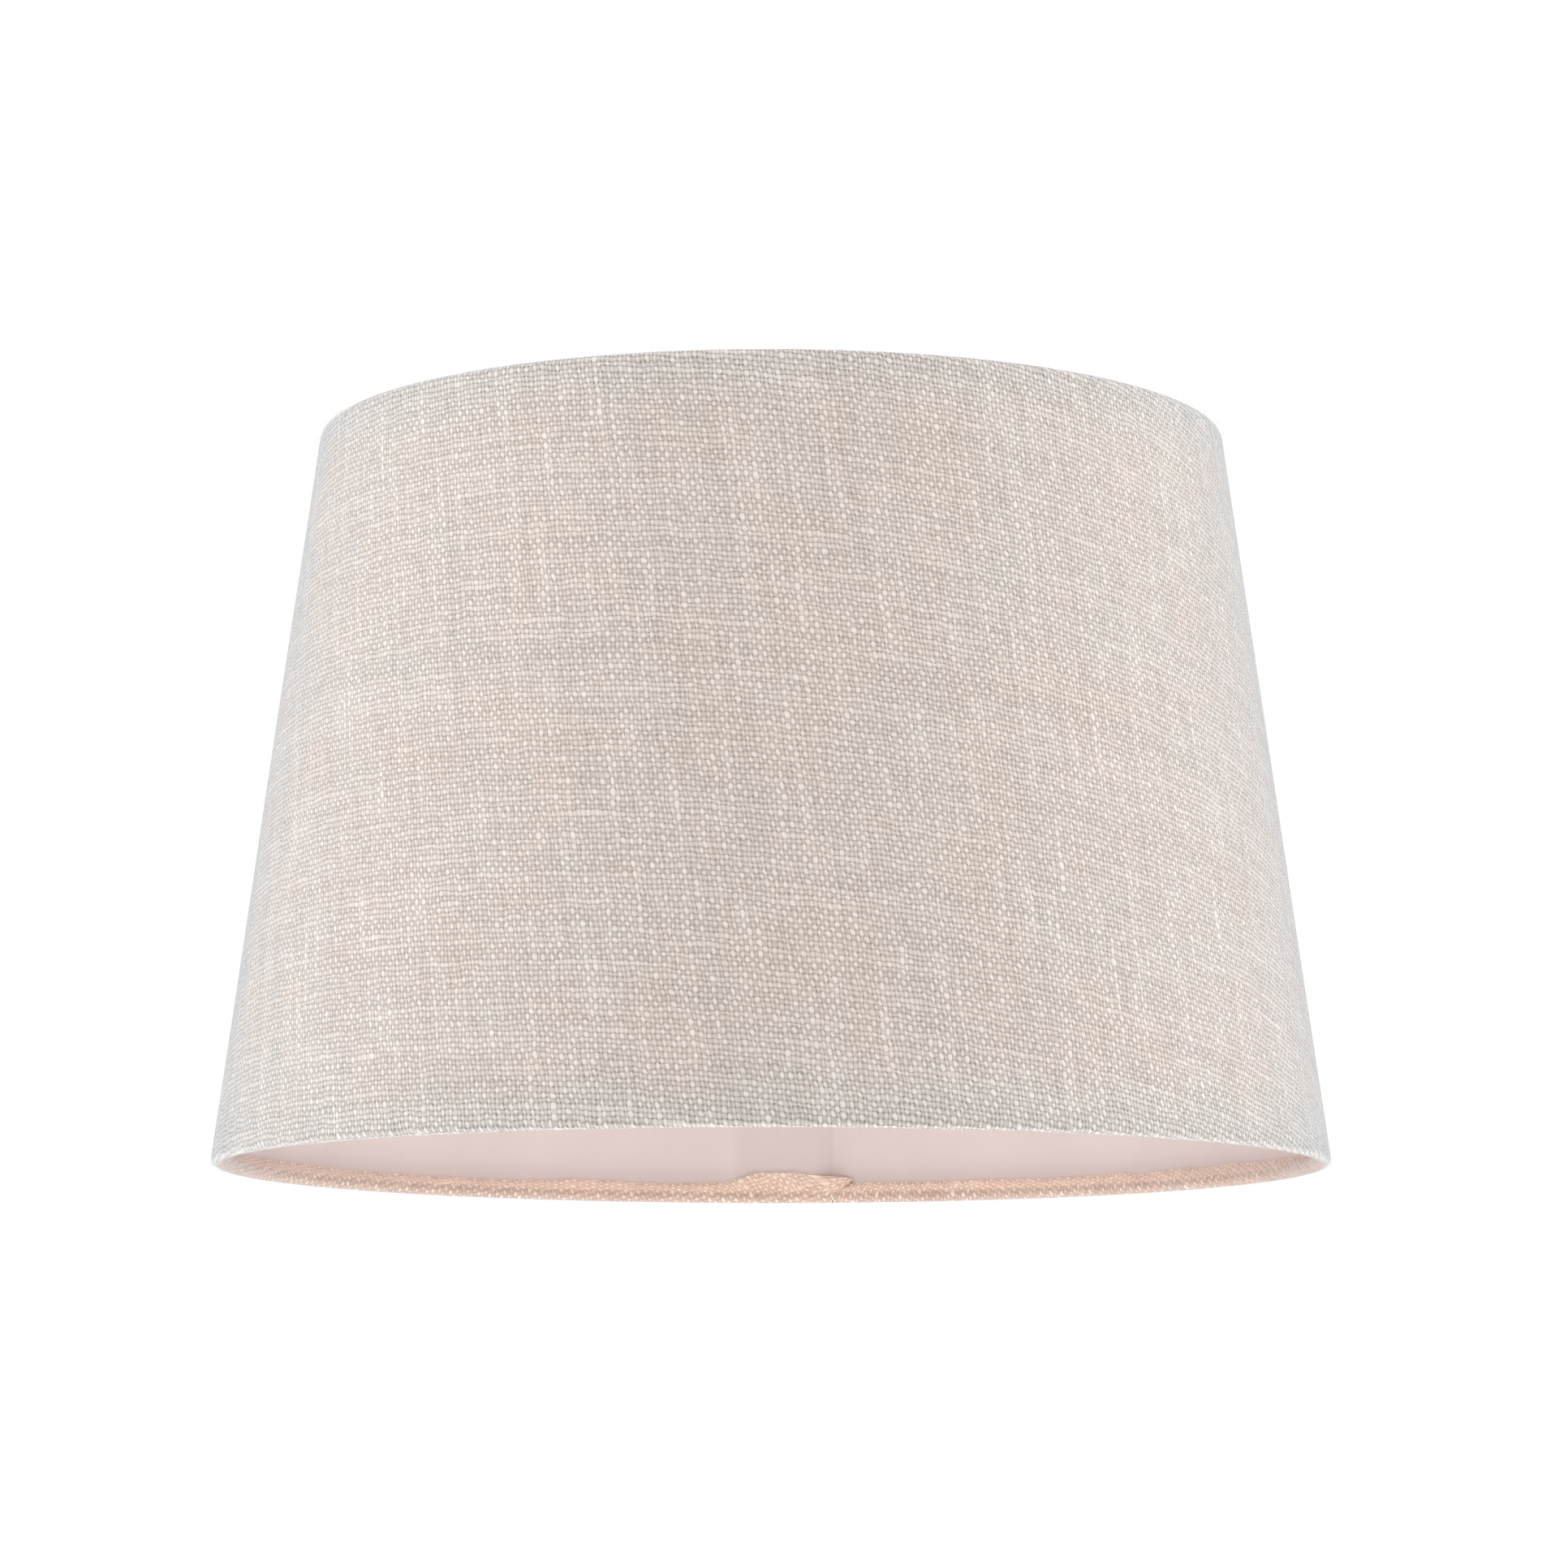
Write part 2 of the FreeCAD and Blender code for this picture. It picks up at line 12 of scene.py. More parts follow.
import bpy
import numpy as np
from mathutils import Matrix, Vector


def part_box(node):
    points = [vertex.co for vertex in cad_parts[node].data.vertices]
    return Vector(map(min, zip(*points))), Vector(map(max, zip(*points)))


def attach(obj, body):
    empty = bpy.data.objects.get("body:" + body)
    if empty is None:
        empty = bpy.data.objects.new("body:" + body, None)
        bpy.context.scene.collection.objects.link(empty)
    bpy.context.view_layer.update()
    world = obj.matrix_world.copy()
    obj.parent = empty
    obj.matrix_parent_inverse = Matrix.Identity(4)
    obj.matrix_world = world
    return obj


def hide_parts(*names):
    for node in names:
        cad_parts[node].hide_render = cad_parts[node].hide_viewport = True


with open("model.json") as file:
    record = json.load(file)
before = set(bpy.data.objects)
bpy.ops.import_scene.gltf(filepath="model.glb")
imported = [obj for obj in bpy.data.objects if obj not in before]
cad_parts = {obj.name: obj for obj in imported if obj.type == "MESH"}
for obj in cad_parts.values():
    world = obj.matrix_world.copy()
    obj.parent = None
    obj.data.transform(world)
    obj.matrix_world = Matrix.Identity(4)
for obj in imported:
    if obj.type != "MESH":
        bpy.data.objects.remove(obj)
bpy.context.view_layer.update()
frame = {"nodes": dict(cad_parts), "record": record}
nodes = frame["nodes"]

# %% [markdown]
# ## Sizes
# The lengths below are in millimetres, because the surfaces are easier to think about that way. A
# mesh is scaled to metres only when it is made. They repeat the CAD model's own sizes, apart from
# the two hem heights, which belong to the sheet: its cut edge waves around the first, 0.1 mm below
# the CAD model's even hem, and in the lap it stands as tall as the second.

# %% Sizes of the strip, the rings and the lap
MM = 0.001
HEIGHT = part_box("fabric_cover")[1].z / MM
BOTTOM_RADIUS, TOP_RADIUS = 177.5, 145.0
TAPER = (BOTTOM_RADIUS - TOP_RADIUS) / HEIGHT
CLOTH, LINER, TAPE = 0.7, 0.4, 0.2
LAP_STEP = CLOTH + LINER + TAPE
RING_RADIUS = 1.6
RING_INSET, RING_LIFT = 2.8, 2.4
HEM_HEIGHT, LAP_HEM_HEIGHT = 6.7, 10.4
SEAM, LAP_ARC = 83.0, 10.975
STRIP_END = SEAM + 360 + LAP_ARC
LAP_RISE_START, LAP_HEM_END = SEAM + 357.4, SEAM + 359.8
FRONT = 270.0
HALF_ANGLE = np.arctan(TAPER)
print(f"wall leans in by {TAPER:.4f} per unit of height, strip runs {STRIP_END - SEAM:.1f} degrees")

# %% [markdown]
# ## A thin solid from two skins
# Cloth and liner are sheets: long, wide and thin. A sheet is a grid of points, one way round the
# shade and one way along its section. Extruding a plane would not let the cut-outs follow the
# section, so both skins are worked out as grids, and a mask says which cells are there. Wherever
# the mask ends, a narrow face joins the skins, so the sheet is closed everywhere.

# %% Join two skins over a masked grid
def closed_sheet(outer, inner, keep):
    """Return points, faces and the grid index of each point of a closed thin sheet.

    outer and inner are (around, along, 3) grids, one thickness apart. keep has one entry a cell.
    A kept cell gives a face on each skin. A grid edge with a kept cell on one side only gives a
    face between the skins, turned the same way as the cell that it closes.
    """
    around, along = outer.shape[:2]
    ids = np.arange(around * along).reshape(around, along)
    count = ids.size
    skin = np.stack([ids[:-1, :-1], ids[1:, :-1], ids[1:, 1:], ids[:-1, 1:]], -1)[keep]
    edged = np.pad(keep, 1)
    walls = []
    for before, after, start, end in (
        (edged[:-1, 1:-1], edged[1:, 1:-1], ids[:, :-1], ids[:, 1:]),
        (edged[1:-1, 1:], edged[1:-1, :-1], ids[:-1, :], ids[1:, :]),
    ):
        for one_side, turned in ((after & ~before, False), (before & ~after, True)):
            a, b = start[one_side], end[one_side]
            a, b = (b, a) if turned else (a, b)
            walls.append(np.stack([a, b, b + count, a + count], -1))
    faces = np.concatenate([skin, skin[:, ::-1] + count, *walls])
    used, packed = np.unique(faces, return_inverse=True)
    points = np.concatenate([outer.reshape(-1, 3), inner.reshape(-1, 3)])[used]
    return points, packed.reshape(faces.shape), used % count


# %% Put a numpy surface into a mesh
def enclosed(points, faces):
    """Signed volume inside four-sided faces: a sixth of each triangle's triple product, summed."""
    a = points[faces[:, 0]]
    total = 0.0
    for second, third in ((1, 2), (2, 3)):
        b, c = points[faces[:, second]], points[faces[:, third]]
        total += np.einsum("ij,ij->i", a, np.cross(b, c)).sum() / 6
    return total


CREASE = 40.0


def new_piece(name, points, faces, body, slot, material):
    """Make a smooth mesh piece from points in millimetres, faces outwards, riding on a CAD body."""
    if enclosed(points, faces) < 0:
        faces = faces[:, ::-1]
    mesh = bpy.data.meshes.new(name)
    mesh.from_pydata((points * MM).tolist(), [], faces.tolist())
    mesh.polygons.foreach_set("use_smooth", np.ones(len(faces), bool))
    mesh.set_sharp_from_angle(angle=np.radians(CREASE))
    mesh.materials.append(material)
    piece = bpy.data.objects.new(name, mesh)
    bpy.context.scene.collection.objects.link(piece)
    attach(piece, body)
    print(f"{name}: {len(points)} points, {len(faces)} faces, {enclosed(points, faces):.0f} mm3")
    return piece


def paint_attribute(piece, name, values):
    """Store one number a point, for a material to read."""
    stored = piece.data.attributes.new(name, "FLOAT", "POINT")
    stored.data.foreach_set("value", np.asarray(values, np.float32))


# %% [markdown]
# ## Node wiring
# A weave is a long formula. Written as nested calls it stays readable: each call adds one node and
# returns its output. The same helpers build the shared groups and the finishes.

# %% Helpers that add nodes
class Wiring:
    """Adds nodes to one tree. A value may be a number, a tuple or another node's output."""

    def __init__(self, tree):
        self.tree = tree

    def node(self, kind, inputs=None, **settings):
        """Add a node, choose its settings, and fill its inputs by name or number."""
        made = self.tree.nodes.new(kind)
        for key, value in settings.items():
            setattr(made, key, value)
        for key, value in (inputs or {}).items():
            if isinstance(value, bpy.types.NodeSocket):
                self.tree.links.new(value, made.inputs[key])
            else:
                made.inputs[key].default_value = value
        return made

    def math(self, operation, *values):
        """One Math node."""
        return self.node("ShaderNodeMath", dict(enumerate(values)), operation=operation).outputs[0]

    def add(self, a, b):
        return self.math("ADD", a, b)

    def times(self, a, b):
        return self.math("MULTIPLY", a, b)

    def minus(self, a, b):
        return self.math("SUBTRACT", a, b)

    def fade(self, value, low, high, start=0.0, end=1.0, soft=True):
        """Map low..high to start..end, held at both ends."""
        kind = "SMOOTHSTEP" if soft else "LINEAR"
        inputs = {0: value, 1: low, 2: high, 3: start, 4: end}
        return self.node("ShaderNodeMapRange", inputs, interpolation_type=kind).outputs[0]

    def vector(self, x, y, z=0.0):
        return self.node("ShaderNodeCombineXYZ", {0: x, 1: y, 2: z}).outputs[0]

    def parts(self, vector):
        return self.node("ShaderNodeSeparateXYZ", {0: vector}).outputs

    def stretch(self, vector, scale):
        """Scale a vector by a different number along each axis."""
        inputs = {0: vector, 1: scale}
        return self.node("ShaderNodeVectorMath", inputs, operation="MULTIPLY").outputs[0]

    def noise(self, vector, scale=1.0, detail=2.0, roughness=0.5):
        """Smooth noise around 0.5."""
        inputs = {"Vector": vector, "Scale": scale, "Detail": detail, "Roughness": roughness}
        return self.node("ShaderNodeTexNoise", inputs)

    def dice(self, vector):
        """A random number for each whole-number place."""
        return self.node("ShaderNodeTexWhiteNoise", {"Vector": vector}).outputs["Value"]

    def blend(self, factor, a, b):
        """Mix two colours."""
        return self.node("ShaderNodeMix", {0: factor, 6: a, 7: b}, data_type="RGBA").outputs[2]

    def attribute(self, name):
        """A number stored on the piece's points."""
        return self.node("ShaderNodeAttribute", attribute_name=name).outputs["Fac"]

    def bump(self, height, distance, strength):
        """Turn a height into a normal; distance is the height's full depth in metres."""
        inputs = {"Strength": strength, "Distance": distance, "Height": height}
        return self.node("ShaderNodeBump", inputs).outputs[0]


def new_group(name, inputs, outputs):
    """Start a shader node group with named sockets; return its wiring, inputs and output node."""
    tree = bpy.data.node_groups.new(name, "ShaderNodeTree")
    for label, value in inputs.items():
        kind = "NodeSocketVector" if isinstance(value, tuple) else "NodeSocketFloat"
        socket = tree.interface.new_socket(name=label, in_out="INPUT", socket_type=kind)
        socket.default_value = value
    for label in outputs:
        tree.interface.new_socket(name=label, in_out="OUTPUT", socket_type="NodeSocketFloat")
    wiring = Wiring(tree)
    return wiring, wiring.node("NodeGroupInput").outputs, wiring.node("NodeGroupOutput")


def place_group(wiring, name, inputs):
    """Place a shared group in a tree and return its outputs."""
    return wiring.node("ShaderNodeGroup", inputs, node_tree=bpy.data.node_groups[name]).outputs


def new_finish(name):
    """Start a material; return it with its wiring and its Principled BSDF."""
    material = bpy.data.materials.new(name)
    material.use_nodes = True
    wiring = Wiring(material.node_tree)
    return material, wiring, material.node_tree.nodes["Principled BSDF"]


def set_shader(shader, **values):
    """Set plain numbers and colours on the shader's own sockets."""
    for key, value in values.items():
        shader.inputs[key.replace("_", " ")].default_value = value


# %% [markdown]
# ## The weave
# The cloth is a plain weave: every warp thread passes over one weft thread and under the next. An
# image would repeat, and a checker has no thickness. Here each thread has its own width, tone and
# slubs, and rides up and down as a wave, so that the higher thread shows. Each thread is painted
# lighter where it rises and darker where it dips, and the holes are painted dark for their shade.
# The pattern counts threads: the first number of the UV map counts warp threads, the second weft.

# %% Build the plain-weave group
def build_weave():
    """Height of a plain weave, and how its threads, floats and holes differ.

    A warp thread's middle rises as the cosine of its place between weft threads and turns over
    from thread to thread; a weft thread does the opposite. Each has a round section. The higher of
    the two shows. The warp rises further, so its floats are long, and the weft lies deeper. Random
    shifts of the counts make threads wander, and slow noise along each makes it thick and thin.
    """
    w, given, out = new_group(
        "plain_weave",
        {"Counts": (0.0, 0.0, 0.0), "Wander": 0.3, "Uneven": 0.6, "Warp Width": 0.43,
         "Weft Width": 0.42},
        ["Height", "Hole", "Tone", "Pale", "Fibre"],
    )
    counts = given["Counts"]
    drift = w.parts(w.noise(counts, 0.22, 2.0).outputs["Color"])
    warp, weft, _ = w.parts(counts)
    warp_line = w.times(w.minus(drift[0], 0.5), given["Wander"])
    weft_line = w.times(w.minus(drift[1], 0.5), given["Wander"])
    warp, weft = w.add(warp, w.times(warp_line, 4.0)), w.add(weft, w.times(weft_line, 4.0))
    shake = w.parts(w.noise(counts, 0.8, 1.0).outputs["Color"])
    warp = w.add(warp, w.times(w.minus(shake[0], 0.5), w.times(given["Wander"], 0.6)))
    weft = w.add(weft, w.times(w.minus(shake[1], 0.5), w.times(given["Wander"], 0.6)))

    stretched = w.vector(warp, weft)
    thick_warp = w.noise(w.stretch(stretched, (0.9, 0.09, 1.0)), 1.0, 1.0).outputs["Fac"]
    thick_weft = w.noise(w.stretch(stretched, (0.07, 0.9, 1.0)), 1.0, 1.0).outputs["Fac"]
    warp = w.add(warp, w.times(w.minus(thick_warp, 0.5), w.times(given["Uneven"], 1.5)))
    weft = w.add(weft, w.times(w.minus(thick_weft, 0.5), given["Uneven"]))

    warp_number, weft_number = w.math("FLOOR", warp), w.math("FLOOR", weft)
    warp_place = w.minus(w.math("FRACT", warp), 0.5)
    weft_place = w.minus(w.math("FRACT", weft), 0.5)
    odd = w.math("FLOORED_MODULO", w.add(warp_number, weft_number), 2.0)
    sign = w.minus(1.0, w.times(odd, 2.0))

    warp_wave = w.times(w.math("COSINE", w.times(weft_place, np.pi)), sign)
    weft_wave = w.times(w.math("COSINE", w.times(warp_place, np.pi)), w.times(sign, -1.0))

    def section(place, width, number, along, seed):
        """Height of a round thread at a place across it; its width swells and thins along it."""
        swell = w.noise(w.vector(w.times(number, 5.3), w.times(along, 0.8), seed), 1.0, 1.0)
        width = w.times(width, w.fade(swell.outputs["Fac"], 0.3, 0.7, 0.78, 1.24, soft=False))
        across = w.math("DIVIDE", place, width)
        return w.math("SQRT", w.math("MAXIMUM", w.minus(1.0, w.times(across, across)), 0.0))

    lean = w.times(w.math("SINE", w.times(weft_place, 2 * np.pi)), 0.02)
    warp_round = section(w.minus(warp_place, lean), given["Warp Width"], warp_number, weft, 2.0)
    weft_round = section(weft_place, given["Weft Width"], weft_number, warp, 6.0)
    warp_rise = w.add(w.times(warp_wave, 0.8), 0.15)
    warp_height = w.add(warp_rise, warp_round)
    weft_height = w.add(w.times(weft_wave, 0.38), weft_round)
    top = w.times(w.math("MAXIMUM", warp_height, weft_height), 0.513)
    warp_shows = w.math("GREATER_THAN", warp_height, weft_height)

    def tone_of(number, along, seed, slubs):
        """Each thread's own tone, and the paler slubs that come and go slowly along it."""
        own = w.dice(w.vector(number, seed))
        slow = w.noise(w.vector(w.times(number, 3.7), w.times(along, 0.05), seed), 1.0, 1.0)
        slub = w.fade(slow.outputs["Fac"], 0.5, 0.78, 0.0, slubs)
        return w.add(w.times(w.minus(own, 0.5), 0.45), slub)

    warp_tone = tone_of(warp_number, weft, 3.0, 1.0)
    weft_tone = tone_of(weft_number, warp, 8.0, 0.6)
    chosen = w.node("ShaderNodeMix", {0: warp_shows, 2: weft_tone, 3: warp_tone}, data_type="FLOAT")
    float_roll = w.dice(w.vector(warp_number, weft_number, 5.0))
    # Painted highlight and shade: a thread is lighter where it rises and darker where it dips.
    height_shading = w.fade(top, 0.42, 0.98, -0.62, 0.62)
    tone = w.add(w.add(chosen.outputs[0], height_shading), w.times(w.minus(float_roll, 0.5), 0.36))

    fibre_warp = w.noise(w.vector(w.times(warp, 9.0), w.times(weft, 0.9), warp_number), 1.0, 2.0)
    fibre_weft = w.noise(w.vector(w.times(warp, 0.9), w.times(weft, 9.0), weft_number), 1.0, 2.0)
    fibre = w.node(
        "ShaderNodeMix",
        {0: warp_shows, 2: fibre_weft.outputs["Fac"], 3: fibre_warp.outputs["Fac"]},
        data_type="FLOAT",
    ).outputs[0]

    w.tree.links.new(w.add(top, w.times(w.minus(fibre, 0.5), 0.1)), out.inputs["Height"])
    # Hole marks the low gaps between threads, unevenly; the finishes paint shade there.
    patchy = w.fade(w.noise(counts, 1.1, 1.0).outputs["Fac"], 0.35, 0.65, 0.45, 1.0)
    w.tree.links.new(w.times(w.fade(top, 0.46, 0.15), patchy), out.inputs["Hole"])
    w.tree.links.new(tone, out.inputs["Tone"])
    # Pale: warp floats made whiter at random, brightest on the crown as a painted highlight.
    pale = w.times(w.fade(float_roll, 0.1, 1.0), w.times(warp_shows, w.fade(top, 0.6, 0.95)))
    w.tree.links.new(pale, out.inputs["Pale"])
    w.tree.links.new(fibre, out.inputs["Fibre"])
    return w.tree


print("weave group:", len(build_weave().nodes), "nodes")

# %% [markdown]
# ## The cloth's finish
# Natural slub cloth in a pale stone colour. Its threads differ in tone, and soft patches lean to
# pink, cream or grey. Most warp floats are made a little whiter and a few nearly white, each with a
# painted highlight on its crown. Along both rims the cloth is doubled and lets less light through,
# so it is painted greyer there for shade and its gaps are painted darker. The turned hem inside is
# painted peach for the light that reaches it through the layers, and painted in shade where it
# faces down.
# A fuzzy surface scatters light at a low angle, which is what the sheen is for.

# %% Cloth material
def cloth_finish():
    material, w, shader = new_finish("linen_cloth")
    counts = w.node("ShaderNodeUVMap", uv_map="weave").outputs[0]
    weave = place_group(w, "plain_weave", {"Counts": counts})
    patches = w.parts(w.noise(counts, 0.055, 3.0, 0.6).outputs["Color"])
    rim, turned = w.attribute("rim_band"), w.attribute("turned_in")
    under = w.attribute("shaded_underside")

    pinkish, greyish = (0.75, 0.63, 0.555, 1), (0.735, 0.645, 0.585, 1)
    # The second colour here is painted shade for the rims, where the doubled cloth lets less light
    # through.
    cream, rim_shade = (0.725, 0.65, 0.58, 1), (0.69, 0.625, 0.575, 1)
    # Painted glow of the turned hem inside, and its painted shade where it faces down.
    peach, shaded_peach = (0.99, 0.75, 0.61, 1), (0.61, 0.445, 0.365, 1)
    # The second colour is for whiter floats and their painted highlight on the crown.
    slub, whitened_highlight = (0.87, 0.83, 0.80, 1), (0.90, 0.86, 0.815, 1)
    # Colours of the painted shade in the gaps between threads: dark outside, peach on the turned
    # hem.
    gap_shade_outside, gap_shade_inside = (0.30, 0.255, 0.225, 1), (0.60, 0.43, 0.34, 1)

    body = w.blend(w.fade(patches[0], 0.35, 0.65), pinkish, greyish)
    body = w.blend(w.fade(patches[1], 0.42, 0.7, 0.0, 0.7), body, cream)
    # Painted shade along both rims, where less light comes through the doubled cloth.
    body = w.blend(rim, body, rim_shade)
    # Painted glow: the turned hem inside is peach for light through the layers, and painted in
    # shade where it faces down.
    body = w.blend(turned, body, peach)
    body = w.blend(under, body, shaded_peach)
    # The tone holds each thread's own tone together with its painted highlight and shade.
    tone = w.fade(weave["Tone"], -0.9, 0.9, 0.73, 1.25, soft=False)
    lit = w.node("ShaderNodeVectorMath", {0: body, "Scale": tone}, operation="SCALE").outputs[0]
    lit = w.blend(w.fade(weave["Tone"], 0.45, 1.4, 0.0, 0.6), lit, slub)
    inside = w.math("MAXIMUM", turned, under)
    # Whiter floats with a painted highlight on their crowns, weaker on the turned hem.
    pale = w.times(weave["Pale"], w.fade(inside, 0.0, 1.0, 0.6, 0.08))
    lit = w.blend(pale, lit, whitened_highlight)
    # Painted shade in the gaps, darker along the rims and weaker on the turned hem.
    depth = w.times(w.add(0.78, w.times(rim, 0.5)), w.fade(inside, 0.0, 1.0, 1.0, 0.3))
    dark = w.blend(inside, gap_shade_outside, gap_shade_inside)
    colour = w.blend(w.times(weave["Hole"], depth), lit, dark)
    fibre = w.fade(weave["Fibre"], 0.3, 0.7, 0.94, 1.05, soft=False)
    colour = w.node("ShaderNodeVectorMath", {0: colour, "Scale": fibre}, operation="SCALE")
    w.tree.links.new(colour.outputs[0], shader.inputs["Base Color"])
    rough = w.fade(weave["Hole"], 0.0, 1.0, 0.78, 0.95)
    w.tree.links.new(rough, shader.inputs["Roughness"])
    w.tree.links.new(w.bump(weave["Height"], 0.0004, 0.8), shader.inputs["Normal"])
    set_shader(shader, Sheen_Weight=0.7, Sheen_Roughness=0.36, Sheen_Tint=(0.73, 0.88, 1, 1),
               Specular_IOR_Level=0.25)
    return material


LINEN = cloth_finish()
print("cloth finish ready:", LINEN.name)

# %% [markdown]
# ## The cloth's section
# At a rim the cloth comes down the wall, turns under the ring, hugs the ring's inner side and lies
# down on the liner, where it ends in a hand-cut edge. The section is drawn as a chain of points
# measured from the rim: how far in from the wall's outer face, and how far from the standing
# plane. Cutting the corners of the chain makes it round.

# %% Chain of points round a rim
ROUND = np.radians(np.linspace(55, -170, 10))
HUG = RING_RADIUS + 0.1 + CLOTH / 2
FOOT = 3.2


def bell(place, start, end, soft):
    """1 between start and end and 0 outside them, with smooth shoulders that are `soft` wide."""
    rise = np.clip((place - start) / soft + 0.5, 0, 1)
    fall = np.clip((end - place) / soft + 0.5, 0, 1)
    return (rise * rise * (3 - 2 * rise)) * (fall * fall * (3 - 2 * fall))


SNIPS, ROUGHNESS = 26, 0.45


def hem_edge(angle, seed):
    """Height of the hem's cut edge: slow waves, small steps of the shears, tall in the lap."""
    random = np.random.default_rng(seed)
    edge = np.full_like(angle, HEM_HEIGHT)
    for turns in (3, 5, 9, 16, 29):
        edge += ROUGHNESS / turns**0.5 * np.sin(np.radians(angle) * turns + random.uniform(0, 6.28))
    places = random.uniform(0, 360, SNIPS)
    sizes = random.uniform(-ROUGHNESS, ROUGHNESS, SNIPS)
    widths = random.uniform(2, 9, SNIPS)
    for place, size, width in zip(places, sizes, widths):
        edge += size * bell((angle - SEAM) % 360, place, place + width, 0.7)
    lap = bell(angle, SEAM - 4, SEAM + LAP_ARC - 0.5, 4.5)
    drop = 2.4 * np.clip((SEAM + 4 - angle) / 4, 0, 1)
    return edge * (1 - lap) + (LAP_HEM_HEIGHT - drop) * lap


def rim_chain(angle, seed, step):
    """(around, points, 2) chain from the hem's cut edge, round the ring, to the wall's foot."""
    edge = hem_edge(angle, seed)
    flat = CLOTH / 2 + CLOTH + LINER
    glued = [(np.full_like(edge, flat), edge - down) for down in (0.0, 0.45, 0.9)]
    under = np.clip((np.degrees(-ROUND) - 90) / 60, 0, 1)
    reach = HUG + 0.4 * under
    wrap = [(RING_INSET + r * np.cos(t) - step * share, RING_LIFT + r * np.sin(t))
            for t, r, share in zip(ROUND, reach, under)]
    foot = [(CLOTH / 2 - step, FOOT)]
    columns = [np.stack(np.broadcast_arrays(*pair, edge)[:2], -1) for pair in glued + wrap + foot]
    return np.stack(columns, 1)


def cut_corners(chain):
    """Round a chain: each side keeps the points at a quarter and three quarters of its length."""
    near = 0.75 * chain[:, :-1] + 0.25 * chain[:, 1:]
    far = 0.25 * chain[:, :-1] + 0.75 * chain[:, 1:]
    both = np.stack([near, far], 2).reshape(len(chain), -1, 2)
    both[:, 0], both[:, -1] = chain[:, 0], chain[:, -1]
    return both


# %% [markdown]
# ## The cloth
# One strip goes all the way round. It starts under the lap, at the back, and its last stretch
# steps out over its own beginning. That stretch has no hem, and the hem that starts under it is
# cut tall and slanting. The hem at the top has a slot at each hanger.

# %% Directions round the shade, with a line at every cut
ANGLES = np.linspace(SEAM, STRIP_END, 620)
SLOT_HALF = np.degrees(2.6 / 140.0)
CUTS = [180 - SLOT_HALF, 180 + SLOT_HALF, 360 - SLOT_HALF, 360 + SLOT_HALF, LAP_HEM_END,
        SEAM + LAP_ARC]
for cut in CUTS:
    ANGLES[np.argmin(abs(ANGLES - cut))] = cut


def stand_out(angle):
    """How far a layer stands outwards: nothing, then the lap's step where the strip overlaps."""
    rise = np.clip((angle - LAP_RISE_START) / 2.5, 0, 1)
    return LAP_STEP * rise * rise * (3 - 2 * rise)


def unevenness(angle, height):
    """Slight hand-made waves of the wall and the rims, up to 0.27 mm in and out."""
    random = np.random.default_rng(11)
    waves = np.zeros(np.broadcast(angle, height).shape)
    for turns, rows in ((2, 1), (3, 0), (5, 2), (8, 1), (13, 3)):
        phase, lean = random.uniform(0, 6.28, 2)
        around = np.sin(np.radians(angle) * turns + phase)
        waves += 0.16 / turns**0.5 * around * np.cos(height / HEIGHT * np.pi * rows + lean)
    return waves


THIN_END, THIN_ARC = 0.25, 2.2


def feather(angle):
    """Share of its thickness that the strip keeps: its first end is pressed thin in the lap."""
    return THIN_END + (1 - THIN_END) * np.clip((angle - SEAM) / THIN_ARC, 0, 1)


def settle(angle):
    """How far the strip's first end is pressed outwards, into the step of the layer over it."""
    return 0.567 * (1 - feather(angle))


def on_shade(angle, inset, height):
    """Point at a direction, an inset from the wall's outer cone, and a height."""
    radius = BOTTOM_RADIUS - TAPER * height - inset + unevenness(angle, height)
    turn = np.radians(angle)
    return np.stack([radius * np.cos(turn), radius * np.sin(turn), height + 0 * turn], -1)


# %% Work out the cloth's two skins
HEM_SHARE, BARE_SHARE = 0.62, 0.72
START_LIFT, START_SLANT = 0.38, 2.7


def cloth_section(angle):
    """(around, along, 2) middle line of the cloth, from the bottom hem over the wall to the top."""
    step = stand_out(angle)
    low = cut_corners(rim_chain(angle, 5, step))
    high = cut_corners(rim_chain(angle, 17, step))[:, ::-1]
    high = np.stack([high[..., 0], HEIGHT - high[..., 1]], -1)
    heights = np.linspace(FOOT, HEIGHT - FOOT, 15)[1:-1]
    wall = np.stack(np.broadcast_arrays(CLOTH / 2 - step[:, None], heights), -1)
    return np.concatenate([low, wall, high], 1), low.shape[1]


